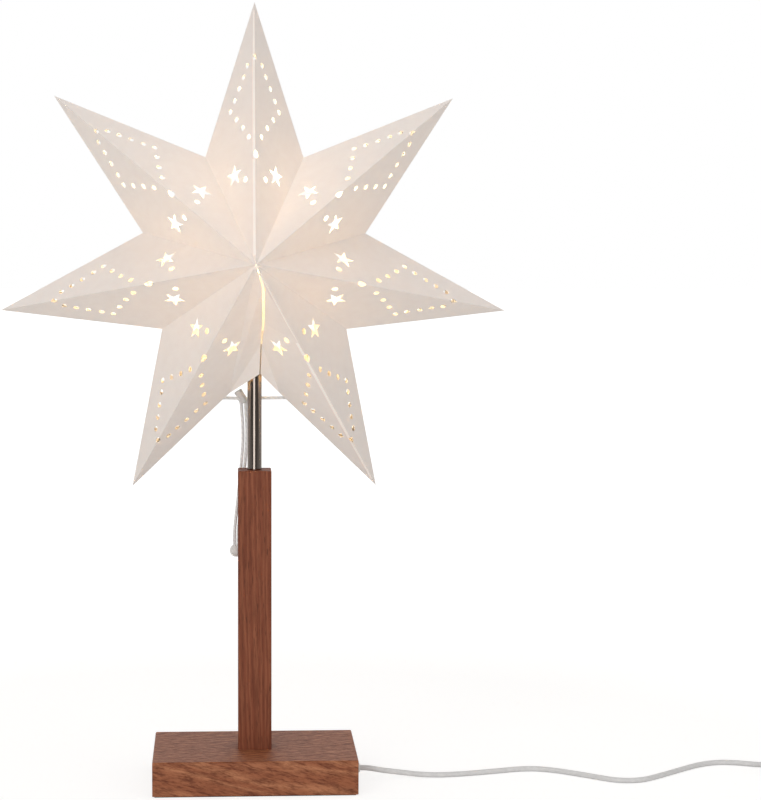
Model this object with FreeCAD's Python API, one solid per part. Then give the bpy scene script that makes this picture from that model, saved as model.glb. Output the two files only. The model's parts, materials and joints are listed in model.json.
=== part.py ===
"""Table lamp with a folded, punched paper star on a wooden foot.

Millimetres, +Z up, front towards -Y. The origin is the middle of the underside of the foot.
"""
import FreeCAD, Part
import math
import os

# Foot: a walnut board with a felt sheet under it and a square walnut post on it
base_width = 140.0
base_depth = 96.0
board_height = 23.5
board_chamfer = 0.6
felt_thick = 0.8
felt_inset = 1.5
post_side = 23.0
post_height = 194.0
post_chamfer = 0.5
pocket_radius = 22.0
pocket_depth = 15.5

# Stem: a steel tube through the post and the board, with a thin nut under the board
tube_radius = 5.0
tube_wall = 1.0
tube_above_post = 96.0
tube_below_ceiling = 7.0
bore_clearance = 0.1
washer_radius = 10.0
washer_thick = 1.2
nut_across_flats = 14.0
nut_thick = 4.0

# Paper star: seven points of two leaves each, open at the bottom where the tube comes in
star_points = 7
tip_radius = 176.1
notch_radius = 78.5
star_half_depth = 77.0
star_above_post = 143.6
slit_angle = 6.5
paper_thick = 0.35

# Punched pattern, measured on a leaf from the star's front centre: along the ridge, then away from it
ridge_hole_near = 79.5
ridge_hole_near_radius = 3.0
ridge_hole_far = 151.2
ridge_hole_far_radius = 2.3
small_hole_radius = 1.9
small_holes = [
    (94.1, 7.0),
    (102.9, 13.3),
    (111.4, 20.1),
    (119.5, 26.5),
    (126.0, 21.8),
    (133.4, 16.9),
    (140.4, 12.2),
    (147.3, 8.0),
]
dot_hole = (64.4, 11.0)
dot_hole_radius = 2.1
star_hole = (70.9, 22.3)
star_hole_radius = 7.8
star_hole_inner_radius = 3.1

# Free edges of the two end leaves: bowed to the right and drawn together in front of the tube.
# Each point of the slit: x, depth and drop as shares of the star's half depth and notch radius, gap
slit_points = [
    (5.2, 0.81, 0.20, 1.6),
    (5.4, 0.47, 0.52, 1.4),
    (4.2, 0.29, 0.71, 0.8),
    (3.5, 0.101, 0.976, 0.8),
]
crease_along_rim = 18.0
crease_along_ridge = 66.0
apex_trim_radius = 1.5
punch_reach = 1.8

# Tie: a soft string through both end leaves, a stopper on it and a bead at its end
string_radius = 1.1
string_gap = 0.3
string_below_notch = 16.0
string_hole_radius = 3.2
knot_radius = 2.8
stopper_length = 14.0
stopper_radius = 3.4
stopper_bore_gap = 0.25
stopper_round = 0.8
stopper_low = (-6.6, 1.6, -4.6)
stopper_lean = (-0.539, 0.0, 0.843)
bead_radius = 4.5
bead_flat = 3.6
bead_from_post = (-12.65, 3.6, -107.8)
bead_string_apart = (1.25, 0.1)
string_end_straight = 4.8

# The strings' points: behind the tube from where they cross it, then behind the post's back face
left_string_high = [
    (-13.0, 0, 0),
    (-10.3, 0.8, -0.8),
    (-9.0, 1.5, -4.2),
    (-8.7, 2.8, -10.4),
    (-7.9, 4.0, -20.4),
    (-7.9, 5.5, -31.4),
]
left_string_low = [
    (-8.8, 0.2, -43.4),
    (-9.8, 1.0, -55.4),
    (-11.0, 1.7, -67.4),
    (-12.3, 2.4, -79.4),
    (-13.6, 3.0, -91.4),
]
right_string_high = [
    (-2.6, 0, 0),
    (-5.3, 0.9, -0.9),
    (-6.2, 1.5, -4.2),
    (-5.9, 2.9, -10.4),
    (-5.1, 4.4, -20.4),
    (-5.3, 6.0, -31.4),
]
right_string_low = [
    (-6.2, 0.7, -43.4),
    (-7.2, 1.4, -55.4),
    (-8.4, 2.1, -67.4),
    (-9.7, 2.8, -79.4),
    (-11.0, 3.4, -91.4),
]

# Lamp holder for a small screw cap, and its bulb
holder_grip = 9.0
holder_radius = 14.0
holder_wall = 1.8
holder_neck_radius = 7.5
holder_neck_length = 3.0
holder_cap_height = 17.0
holder_sleeve_height = 30.5
core_clearance = 0.2
core_thick = 10.0
core_in_cap = 2.5
ledge_width = 1.7
shell_radius = 7.1
shell_wall = 0.4
shell_length = 21.0
shell_flange = 2.5
contact_radius = 3.5
contact_thick = 0.8
bulb_cap_clearance = 0.2
bulb_cap_length = 22.5
bulb_cap_taper = 3.0
bulb_button_radius = 2.6
bulb_button_height = 1.0
bulb_collar = 1.0
bulb_neck_radius = 9.0
bulb_neck_rise = 3.5
bulb_neck_spread = 1.3
bulb_neck_hollow = 0.7
bulb_radius = 22.5
bulb_ball_rise = 28.5

# Mains cord: out of the right side of the foot, along the table, and the rest of it in a coil
cord_radius = 1.9
cord_exit_height = 8.0
cord_turn_height = 3.4
cord_above_table = 0.05
grommet_radius = 4.3
grommet_inner_end_radius = 3.2
grommet_inside = 24.0
grommet_flange_radius = 5.6
grommet_flange_thick = 1.0
grommet_nose = 2.5
grommet_nose_radius = 3.0
grommet_nose_flare = 1.0
cord_total_length = 1800.0
coil_centre_x = 391.0
coil_centre_y = -7.5
coil_outer_radius = 28.8
coil_inner_radius = 13.2
coil_height = 11.6
coil_edge_round = 3.0
coil_entry_length = 16.0
coil_exit_length = 26.0
tie_band_thick = 0.7
tie_band_width = 4.0
tie_band_gap = 0.3

# Flat two-pin plug on the cord's end
plug_width = 34.0
plug_rear_width = 18.0
plug_length = 36.0
plug_shoulder = 13.0
plug_thick = 14.0
plug_round = 2.5
relief_length = 22.0
relief_small_radius = 2.7
relief_large_radius = 4.6
pin_radius = 2.0
pin_tip_round = 1.2
pin_core_radius = 1.5
pin_length = 19.0
pin_sleeve_length = 10.0
pin_spacing = 18.6

# Heights and places that follow from the sizes above
board_low = felt_thick
board_top = board_low + board_height
post_top = board_top + post_height
pocket_ceiling = board_low + pocket_depth
tube_low = pocket_ceiling - tube_below_ceiling
tube_top = post_top + tube_above_post
star_z = post_top + star_above_post
star_centre = FreeCAD.Vector(0, 0, star_z)
holder_z = tube_top - holder_grip
sleeve_z = holder_z + holder_cap_height
core_z = sleeve_z - core_in_cap
core_top = core_z + core_thick
leaf_angle = (360.0 - slit_angle) / (2 * star_points)
string_y = tube_radius + string_gap + string_radius
string_z = star_z - notch_radius - string_below_notch
post_string_y = post_side / 2 + string_gap + string_radius
bead_centre = FreeCAD.Vector(0, post_string_y, string_z) + FreeCAD.Vector(*bead_from_post)
cord_out = base_width / 2 + grommet_flange_thick + grommet_nose
cord_rest = cord_radius + cord_above_table
coil_entry_x = coil_centre_x - coil_entry_length
coil_entry_y = coil_centre_y + coil_outer_radius - cord_radius
coil_exit_x = coil_centre_x + coil_outer_radius - cord_radius
plug_axis = plug_thick / 2

V = FreeCAD.Vector
UP = V(0, 0, 1)
ALONG_X = V(1, 0, 0)
ALONG_Y = V(0, 1, 0)


def save(name, shape):
    shape.exportStep("parts/" + name + ".step")
    print(f"{name}: {len(shape.Solids)} solid, {shape.Volume:.1f} mm3, valid {shape.isValid()}")


def rod(radius, length, base, direction=UP):
    return Part.makeCylinder(radius, length, base, direction)


def turned(outline, base=V(0, 0, 0)):
    """A turned piece from its half section, given as (radius, height) corners."""
    corners = [V(r, 0, z) for r, z in outline]
    wire = Part.makePolygon(corners + corners[:1])
    solid = Part.Face(wire).revolve(V(0, 0, 0), UP, 360)
    solid.translate(base)
    return solid


def flat_face(corners):
    return Part.Face(Part.makePolygon(corners + corners[:1]))


def closed_solid(faces):
    """A solid from its flat faces, with its inside on the inside."""
    shell = Part.Shell([flat_face(corners) for corners in faces])
    solid = Part.Solid(shell)
    if solid.Volume < 0:
        solid.reverse()
    return solid


def plane(a, b, c, outward):
    """A plane as (unit normal, distance), with its normal turned to the given side."""
    normal = (b - a).cross(c - a).normalize()
    if normal.dot(outward) < 0:
        normal = normal * -1
    return normal, normal.dot(a)


def meet(first, second, third):
    """The point that three planes have in common."""
    (a, p), (b, q), (c, r) = first, second, third
    across = b.cross(c) * p + c.cross(a) * q + a.cross(b) * r
    return across * (1 / a.dot(b.cross(c)))


def behind(point):
    """The same point on the star's back half."""
    return V(point.x, -point.y, point.z)


def radial(angle):
    """The direction at an angle round the star, seen from its front."""
    return V(math.cos(math.radians(angle)), 0, math.sin(math.radians(angle)))


def sideways(angle):
    return V(-math.sin(math.radians(angle)), 0, math.cos(math.radians(angle)))


def leaf_body(tip_angle, notch_angle):
    """One leaf round the star's centre: front and back triangle, creased on the rim from tip to notch.

    Its ridge and valley edges are mitred on the radial planes where it is glued to its neighbours.
    """
    front = V(0, -star_half_depth, 0)
    tip = radial(tip_angle) * tip_radius
    notch = radial(notch_angle) * notch_radius
    outside = plane(front, tip, notch, V(0, -1, 0))
    inside = (outside[0], outside[1] - paper_thick)
    middle = (ALONG_Y, 0.0)
    ridge = (sideways(tip_angle), 0.0)
    valley = (sideways(notch_angle), 0.0)
    front_in = meet(inside, ridge, valley)
    tip_in = meet(inside, middle, ridge)
    notch_in = meet(inside, middle, valley)
    half = [
        [front, tip, notch],
        [front_in, tip_in, notch_in],
        [front, tip, tip_in, front_in],
        [front, notch, notch_in, front_in],
    ]
    other_half = [[behind(p) for p in face] for face in half]
    return closed_solid(half + other_half)


def end_leaf_body(tip_angle, notch_angle, side):
    """The left (1) or right (-1) leaf at the slit, whose paper bends to its free edge.

    The left one bends from a point on the rim, the right one also from a point on its ridge.
    """
    front = V(0, -star_half_depth, 0)
    tip = radial(tip_angle) * tip_radius
    notch = radial(notch_angle) * notch_radius
    on_rim = notch + (tip - notch).normalize() * crease_along_rim
    on_ridge = front + (tip - front).normalize() * crease_along_ridge
    edge = [front]
    for x, depth, drop, gap in slit_points:
        edge.append(V(x - side * gap / 2, -star_half_depth * depth, -notch_radius * drop))
    apexes = [on_rim] * 4 if side > 0 else [on_ridge] * 3 + [on_rim]
    triangles = [[a, b, apex] for a, b, apex in zip(edge, edge[1:], apexes)]
    if side > 0:
        triangles.append([front, tip, on_rim])
        ridge_line = [front, tip]
    else:
        triangles += [[edge[3], on_rim, on_ridge], [on_ridge, tip, on_rim]]
        ridge_line = [front, on_ridge, tip]

    def inset(point):
        """The point on the paper's inner face, on the same radial or middle plane as the outer one."""
        normal = V(0, 0, 0)
        for triangle in triangles:
            if point in triangle:
                normal += plane(*triangle, V(0, -1, 0))[0]
        normal.normalize()
        inward = V(normal)
        if point in ridge_line:
            across = sideways(tip_angle)
            inward -= across * inward.dot(across)
        if point is tip or point is on_rim:
            inward.y = 0
            if point is tip:
                inward = tip * inward.dot(tip)
        inward.normalize()
        return point - inward * (paper_thick / inward.dot(normal))

    half = triangles + [[inset(p) for p in triangle] for triangle in triangles]
    for a, b in zip(ridge_line, ridge_line[1:]):
        half.append([a, b, inset(b), inset(a)])
    rim_end = [edge[-1], on_rim]
    for line in (edge, rim_end):
        for a, b in zip(line, line[1:]):
            half += [[a, b, inset(b)], [a, inset(b), inset(a)]]
    other_half = [[behind(p) for p in face] for face in half]
    apex_trim = rod(apex_trim_radius, 2 * star_half_depth, front, ALONG_Y)
    return closed_solid(half + other_half).cut(apex_trim)


def leaf_punches(tip_angle, notch_angle):
    """Cutters for the holes of a leaf's front and back triangle, square to the paper."""
    front = V(0, -star_half_depth, 0)
    tip = radial(tip_angle) * tip_radius
    notch = radial(notch_angle) * notch_radius
    normal, _ = plane(front, tip, notch, V(0, -1, 0))
    along = (tip - front).normalize()
    across = notch - front - along * (notch - front).dot(along)
    across.normalize()
    depth = 2 * punch_reach

    def place(u, v):
        return front + along * u + across * v - normal * (depth / 2)

    punches = [
        rod(ridge_hole_near_radius, depth, place(ridge_hole_near, 0), normal),
        rod(ridge_hole_far_radius, depth, place(ridge_hole_far, 0), normal),
        rod(dot_hole_radius, depth, place(*dot_hole), normal),
    ]
    for u, v in small_holes:
        punches.append(rod(small_hole_radius, depth, place(u, v), normal))
    star = []
    for i in range(10):
        turn = math.radians(36 * i)
        reach = star_hole_inner_radius if i % 2 else star_hole_radius
        star.append(place(star_hole[0] + reach * math.cos(turn), star_hole[1] + reach * math.sin(turn)))
    punches.append(flat_face(star).extrude(normal * depth))
    punches += [p.mirror(V(0, 0, 0), ALONG_Y) for p in punches]
    return Part.makeCompound(punches)


def string_hole(tip_angle, notch_angle):
    """Where the string passes through the back of an end leaf, and that triangle's normal."""
    back = V(0, star_half_depth, 0)
    tip = radial(tip_angle) * tip_radius
    notch = radial(notch_angle) * notch_radius
    normal, distance = plane(back, tip, notch, ALONG_Y)
    height = string_z - star_z
    x = (distance - normal.y * string_y - normal.z * height) / normal.x
    return V(x, string_y, height), normal


def make_star():
    """Seven points of two leaves, from the left end leaf round over the top to the right one."""
    first_tip = -90 - slit_angle / 2 - leaf_angle
    leaves = []
    for k in range(star_points):
        tip_angle = first_tip - 2 * leaf_angle * k
        for side in (1, -1):
            notch_angle = tip_angle + side * leaf_angle
            is_end = (k == 0 and side == 1) or (k == star_points - 1 and side == -1)
            if is_end:
                leaf = end_leaf_body(tip_angle, notch_angle, side)
            else:
                leaf = leaf_body(tip_angle, notch_angle)
            leaf = leaf.cut(leaf_punches(tip_angle, notch_angle))
            if is_end:
                hole, normal = string_hole(tip_angle, notch_angle)
                punch = rod(string_hole_radius, 2 * punch_reach, hole - normal * punch_reach, normal)
                leaf = leaf.cut(punch)
            leaf.translate(star_centre)
            leaves.append(leaf)
    return leaves


def route_path(points):
    """Straight runs joined by tangent arcs, each arc as large as its two runs allow, with their radii."""
    edges = []
    radii = []
    start = points[0]
    for before, here, after in zip(points, points[1:], points[2:]):
        back = before - here
        ahead = after - here
        shorter = min(back.Length, ahead.Length)
        half_turn = (math.pi - back.getAngle(ahead)) / 2
        cut = 0.45 * shorter
        radius = cut / math.tan(half_turn)
        back.normalize()
        ahead.normalize()
        inward = (back + ahead).normalize()
        arc_start = here + back * cut
        arc_middle = here + inward * (radius / math.cos(half_turn) - radius)
        arc_end = here + ahead * cut
        edges.append(Part.LineSegment(start, arc_start).toShape())
        edges.append(Part.Arc(arc_start, arc_middle, arc_end).toShape())
        radii.append(radius)
        start = arc_end
    edges.append(Part.LineSegment(start, points[-1]).toShape())
    return Part.Wire(edges), radii


def cord_tube(name, points, radius):
    """A plain round cord along a route, with its bends and its volume printed."""
    path, radii = route_path(points)
    circle = Part.makeCircle(radius, points[0], points[1] - points[0])
    tube = path.makePipeShell([Part.Wire(circle)], True, False)
    if tube.Volume < 0:
        tube.reverse()
    share = tube.Volume / (math.pi * radius**2 * path.Length)
    print(f"{name}: length {path.Length:.1f}, smallest bend {min(radii):.1f}, volume share {share:.4f}")
    print("  bends " + " ".join(f"{r:.0f}" for r in radii))
    return tube, path.Length


def string_route(side):
    """The string's points from its knot in the left (-1) or right (1) end leaf to the bead."""
    tip_angle = -90 + side * (slit_angle / 2 + leaf_angle)
    hole, normal = string_hole(tip_angle, tip_angle - side * leaf_angle)
    knot_x = abs(hole.x) + (paper_thick + knot_radius + string_gap) / abs(normal.x)
    start = V(side * (knot_x - math.sqrt(knot_radius**2 - string_radius**2)), string_y, string_z)
    high, low = (left_string_high, left_string_low) if side < 0 else (right_string_high, right_string_low)
    points = [start]
    points += [V(x, string_y + y, string_z + z) for x, y, z in high]
    points += [V(x, post_string_y + y, string_z + z) for x, y, z in low]
    end = bead_centre + V(side * bead_string_apart[0], side * bead_string_apart[1], bead_flat)
    points += [end + UP * string_end_straight, end]
    return points, V(side * knot_x, string_y, string_z)


def make_knot(centre, side):
    """A round knot with a flat where its string leaves it towards the tube."""
    knot = Part.makeSphere(knot_radius, centre)
    reach = math.sqrt(knot_radius**2 - string_radius**2)
    beyond = rod(knot_radius, knot_radius, centre - ALONG_X * (side * reach), ALONG_X * -side)
    return knot.cut(beyond)


def make_stopper(routes):
    """A moulded barrel on the string: both strings go in at its sides and leave at its lower end."""
    low = V(stopper_low[0], string_y + stopper_low[1], string_z + stopper_low[2])
    barrel = rod(stopper_radius, stopper_length, low, V(*stopper_lean))
    barrel = barrel.makeFillet(stopper_round, [e for e in barrel.Edges if isinstance(e.Curve, Part.Circle)])
    for name, route in zip(("left", "right"), routes):
        passage, _ = cord_tube(f"stopper passage {name}", route[:6], string_radius + stopper_bore_gap)
        barrel = barrel.cut(passage)
    return barrel


def make_bead():
    """A round bead with a flat on top where both strings go in."""
    bead = Part.makeSphere(bead_radius, bead_centre)
    return bead.cut(rod(bead_radius, bead_radius, bead_centre + UP * bead_flat))


def make_board():
    corner = V(-base_width / 2, -base_depth / 2, board_low)
    board = Part.makeBox(base_width, base_depth, board_height, corner)
    rims = [e for e in board.Edges if e.BoundBox.ZMax > board_low + board_chamfer]
    board = board.makeChamfer(board_chamfer, rims)
    board = board.cut(rod(pocket_radius, pocket_depth, V(0, 0, board_low)))
    board = board.cut(rod(tube_radius + bore_clearance, board_height, V(0, 0, board_low)))
    lead_hole = rod(grommet_radius + bore_clearance, base_width / 2, V(0, 0, cord_exit_height), ALONG_X)
    return board.cut(lead_hole)


def make_felt():
    width = base_width - 2 * felt_inset
    depth = base_depth - 2 * felt_inset
    return Part.makeBox(width, depth, felt_thick, V(-width / 2, -depth / 2, 0))


def make_post():
    post = Part.makeBox(post_side, post_side, post_height, V(-post_side / 2, -post_side / 2, board_top))
    rims = [e for e in post.Edges if e.BoundBox.ZMax > board_top + post_chamfer]
    post = post.makeChamfer(post_chamfer, rims)
    return post.cut(rod(tube_radius + bore_clearance, post_height, V(0, 0, board_top)))


def make_tube():
    length = tube_top - tube_low
    outside = rod(tube_radius, length, V(0, 0, tube_low))
    return outside.cut(rod(tube_radius - tube_wall, length, V(0, 0, tube_low)))


def make_washer():
    low = pocket_ceiling - washer_thick
    disc = rod(washer_radius, washer_thick, V(0, 0, low))
    return disc.cut(rod(tube_radius + bore_clearance, washer_thick, V(0, 0, low)))


def make_nut():
    low = pocket_ceiling - washer_thick - nut_thick
    reach = nut_across_flats / 2 / math.cos(math.radians(30))
    turns = [math.radians(60 * i) for i in range(6)]
    corners = [V(reach * math.cos(a), reach * math.sin(a), low) for a in turns]
    nut = flat_face(corners).extrude(UP * nut_thick)
    return nut.cut(rod(tube_radius + bore_clearance, nut_thick, V(0, 0, low)))


def make_grommet():
    """Tapered rubber sleeve round the cord in the side of the board, with a thin flange outside."""
    side = base_width / 2
    outline = [
        (cord_radius, -grommet_inside),
        (grommet_inner_end_radius, -grommet_inside),
        (grommet_radius, -grommet_inside / 2),
        (grommet_radius, 0),
        (grommet_flange_radius, 0),
        (grommet_flange_radius, grommet_flange_thick),
        (grommet_nose_radius + grommet_nose_flare, grommet_flange_thick),
        (grommet_nose_radius, grommet_flange_thick + grommet_nose),
        (cord_radius, grommet_flange_thick + grommet_nose),
    ]
    sleeve = turned(outline)
    sleeve.rotate(V(0, 0, 0), ALONG_Y, 90)
    sleeve.translate(V(side, 0, cord_exit_height))
    return sleeve


def make_holder_cap():
    inner = holder_radius - holder_wall
    slope_top = holder_neck_length + (holder_radius - holder_neck_radius)
    ledge = inner - ledge_width
    outline = [
        (tube_radius + bore_clearance, 0),
        (holder_neck_radius, 0),
        (holder_neck_radius, holder_neck_length),
        (holder_radius, slope_top),
        (holder_radius, holder_cap_height),
        (inner, holder_cap_height),
        (inner, holder_cap_height - core_in_cap),
        (ledge, holder_cap_height - core_in_cap),
        (ledge, slope_top),
        (tube_radius + bore_clearance, holder_neck_length + holder_wall),
    ]
    return turned(outline, V(0, 0, holder_z))


def make_holder_sleeve():
    inner = holder_radius - holder_wall
    lip = shell_radius + shell_wall + core_clearance
    outline = [
        (inner, 0),
        (holder_radius, 0),
        (holder_radius, holder_sleeve_height - holder_wall),
        (holder_radius - holder_wall / 2, holder_sleeve_height),
        (lip, holder_sleeve_height),
        (lip, holder_sleeve_height - holder_wall),
        (inner, holder_sleeve_height - holder_wall),
    ]
    return turned(outline, V(0, 0, sleeve_z))


def make_holder_core():
    """Ceramic insert that carries the screw shell and the centre contact."""
    return rod(holder_radius - holder_wall - core_clearance, core_thick, V(0, 0, core_z))


def make_holder_shell():
    outer = shell_radius + shell_wall
    outline = [
        (shell_radius, 0),
        (outer + shell_flange, 0),
        (outer + shell_flange, shell_wall),
        (outer, shell_wall),
        (outer, shell_length),
        (shell_radius, shell_length),
    ]
    return turned(outline, V(0, 0, core_top))


def make_holder_contact():
    return rod(contact_radius, contact_thick, V(0, 0, core_top))


def make_bulb():
    """Frosted ball bulb with its screw cap, closed all round."""
    cap_radius = shell_radius - bulb_cap_clearance
    low = core_top + contact_thick
    cap_low = low + bulb_cap_taper
    cap_top = low + bulb_cap_length
    neck_top = cap_top + bulb_neck_rise
    ball_z = cap_top + bulb_ball_rise
    join_angle = math.asin(bulb_neck_spread * bulb_neck_radius / bulb_radius)
    join_r = bulb_radius * math.sin(join_angle)
    join_z = ball_z - bulb_radius * math.cos(join_angle)
    bend = V((bulb_neck_radius + join_r) / 2, 0, (neck_top + join_z) / 2)
    bend += V(-bulb_neck_hollow, 0, bulb_neck_hollow)
    corners = [
        V(0, 0, low),
        V(bulb_button_radius, 0, low),
        V(bulb_button_radius, 0, low + bulb_button_height),
        V(cap_radius, 0, cap_low),
        V(cap_radius, 0, cap_top),
        V(bulb_neck_radius, 0, cap_top + bulb_collar),
        V(bulb_neck_radius, 0, neck_top),
    ]
    edges = [Part.LineSegment(a, b).toShape() for a, b in zip(corners, corners[1:])]
    join = V(join_r, 0, join_z)
    widest = V(bulb_radius, 0, ball_z)
    top = V(0, 0, ball_z + bulb_radius)
    edges.append(Part.Arc(corners[-1], bend, join).toShape())
    edges.append(Part.Arc(join, widest, top).toShape())
    edges.append(Part.LineSegment(top, corners[0]).toShape())
    return Part.Face(Part.Wire(edges)).revolve(V(0, 0, 0), UP, 360)


def make_coil():
    """The outer shape of the coiled cord, with the two short lengths that leave it."""
    low = tie_band_thick + tie_band_gap
    ring = rod(coil_outer_radius, coil_height - low, V(coil_centre_x, coil_centre_y, low))
    ring = ring.cut(rod(coil_inner_radius, coil_height, V(coil_centre_x, coil_centre_y, low)))
    round_edges = [e for e in ring.Edges if isinstance(e.Curve, Part.Circle)]
    ring = ring.makeFillet(coil_edge_round, round_edges)
    entry = rod(cord_radius, coil_entry_length, V(coil_entry_x, coil_entry_y, cord_rest), ALONG_X)
    leaving = rod(cord_radius, coil_exit_length, V(coil_exit_x, coil_centre_y, plug_axis), V(0, -1, 0))
    return ring.fuse([entry, leaving]).removeSplitter()


def make_coil_tie():
    """A flat plastic tie round the coil's bundle at its front."""
    gap = tie_band_gap
    thick = tie_band_thick
    near = coil_centre_y - coil_outer_radius
    span = coil_outer_radius - coil_inner_radius
    inner = Part.makeBox(tie_band_width, span + 2 * gap, coil_height - thick, V(0, near - gap, thick))
    inner = inner.makeFillet(coil_edge_round, [e for e in inner.Edges if abs(e.tangentAt(0).x) > 0.9])
    outer_depth = span + 2 * (gap + thick)
    outer = Part.makeBox(tie_band_width, outer_depth, coil_height + thick + gap, V(0, near - gap - thick, 0))
    outer = outer.makeFillet(coil_edge_round, [e for e in outer.Edges if abs(e.tangentAt(0).x) > 0.9])
    band = outer.cut(inner)
    band.translate(V(coil_centre_x - tie_band_width / 2, 0, 0))
    return band


def make_plug():
    """Moulded flat plug with its tapered strain relief, lying on the table behind the coil's exit."""
    x = coil_exit_x
    rear = coil_centre_y - coil_exit_length
    body_rear = rear - relief_length
    body_front = body_rear - plug_length
    low = plug_axis - plug_thick / 2
    outline = [
        V(x - plug_rear_width / 2, body_rear, low),
        V(x + plug_rear_width / 2, body_rear, low),
        V(x + plug_width / 2, body_rear - plug_shoulder, low),
        V(x + plug_width / 2, body_front, low),
        V(x - plug_width / 2, body_front, low),
        V(x - plug_width / 2, body_rear - plug_shoulder, low),
    ]
    body = flat_face(outline).extrude(UP * plug_thick)
    body = body.makeFillet(plug_round, body.Edges)
    relief_base = V(x, body_rear - plug_round, plug_axis)
    relief = Part.makeCone(
        relief_large_radius, relief_small_radius, relief_length + plug_round, relief_base, ALONG_Y
    )
    body = body.fuse(relief).removeSplitter()
    for side in (-1, 1):
        seat = V(x + side * pin_spacing / 2, body_front, plug_axis)
        body = body.cut(rod(pin_core_radius, pin_length / 2, seat, ALONG_Y))
    pins = []
    sleeves = []
    for side in (-1, 1):
        seat = V(x + side * pin_spacing / 2, body_front, plug_axis)
        sleeve_end = seat - ALONG_Y * pin_sleeve_length
        tip_length = pin_length - pin_sleeve_length
        tip = rod(pin_radius, tip_length, seat - ALONG_Y * pin_length, ALONG_Y)
        end_edges = [e for e in tip.Edges if e.BoundBox.YMax < sleeve_end.y - pin_tip_round]
        tip = tip.makeFillet(pin_tip_round, end_edges)
        shank = rod(pin_core_radius, pin_sleeve_length + pin_length / 2, sleeve_end, ALONG_Y)
        pins.append(tip.fuse(shank))
        sleeve = rod(pin_radius, pin_sleeve_length, sleeve_end, ALONG_Y)
        sleeves.append(sleeve.cut(shank))
    return body, Part.makeCompound(pins), Part.makeCompound(sleeves)


save("base_board", make_board())
save("base_felt", make_felt())
save("post", make_post())
tube = make_tube()
save("stem_tube", tube)
save("stem_washer", make_washer())
save("stem_nut", make_nut())
save("cord_grommet", make_grommet())
save("holder_cap", make_holder_cap())
save("holder_sleeve", make_holder_sleeve())
save("holder_core", make_holder_core())
save("holder_shell", make_holder_shell())
save("holder_contact", make_holder_contact())
save("bulb", make_bulb())

leaves = make_star()
for i, leaf in enumerate(leaves):
    save(f"star_leaf_{i + 1:02d}", leaf)
print(f"end leaf to tube {leaves[0].distToShape(tube)[0]:.2f}")

# The lead inside the lamp, from the holder down the tube and out through the grommet
inside_route = [
    V(0, 0, core_z),
    V(0, 0, cord_turn_height),
    V(13, 0, cord_turn_height + 0.1),
    V(27, 0, cord_exit_height - 0.6),
    V(base_width / 2 - grommet_inside - 1, 0, cord_exit_height),
    V(cord_out, 0, cord_exit_height),
]
inside, _ = cord_tube("cord_inside", inside_route, cord_radius)
save("cord_inside", inside)

# The cord from the grommet along the table to the coil
run_route = [
    V(cord_out, 0, cord_exit_height),
    V(79, 0, cord_exit_height),
    V(88.5, -0.4, 6.2),
    V(101, 0.5, 4.4),
    V(116, -0.5, 2.7),
    V(132, 0.4, cord_rest),
    V(152, 4.5, cord_rest),
    V(174, 11.3, cord_rest),
    V(188, 15.9, cord_rest),
    V(200, 16.2, cord_rest),
    V(213, 10.3, cord_rest),
    V(228, -1.4, cord_rest),
    V(242, -13.6, cord_rest),
    V(249.3, -19.5, cord_rest),
    V(256.8, -22.2, cord_rest),
    V(264.6, -22.2, cord_rest),
    V(272.1, -19.4, cord_rest),
    V(281.5, -11.6, cord_rest),
    V(296, 2.0, cord_rest),
    V(309, 14.6, cord_rest),
    V(320, 23.6, cord_rest),
    V(333, 29.3, cord_rest),
    V(346, 27.3, cord_rest),
    V(357, 21.8, cord_rest),
    V(366, coil_entry_y, cord_rest),
    V(coil_entry_x, coil_entry_y, cord_rest),
]
run, run_length = cord_tube("cord_run", run_route, cord_radius)
save("cord_run", run)
save("cord_coil", make_coil())
save("coil_tie", make_coil_tie())
print(f"cord in the coil {cord_total_length - run_length:.0f} of {cord_total_length:.0f}")
plug_body, plug_pins, plug_sleeves = make_plug()
save("plug_body", plug_body)
save("plug_pins", plug_pins)
save("plug_sleeves", plug_sleeves)

# The string that holds the star's slit shut round the tube, and what is on it
left_route, left_knot = string_route(-1)
right_route, right_knot = string_route(1)
left_string, _ = cord_tube("tie_string_left", left_route, string_radius)
right_string, _ = cord_tube("tie_string_right", right_route, string_radius)
save("tie_string_left", left_string)
save("tie_string_right", right_string)
save("tie_knots", Part.makeCompound([make_knot(left_knot, -1), make_knot(right_knot, 1)]))
save("tie_stopper", make_stopper([left_route, right_route]))
save("tie_bead", make_bead())
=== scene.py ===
"""Looks of the paper star table lamp, piece by piece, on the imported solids. Metres, front towards -Y."""
import json
import math

import bmesh
import bpy
from mathutils import Matrix, Vector

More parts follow.
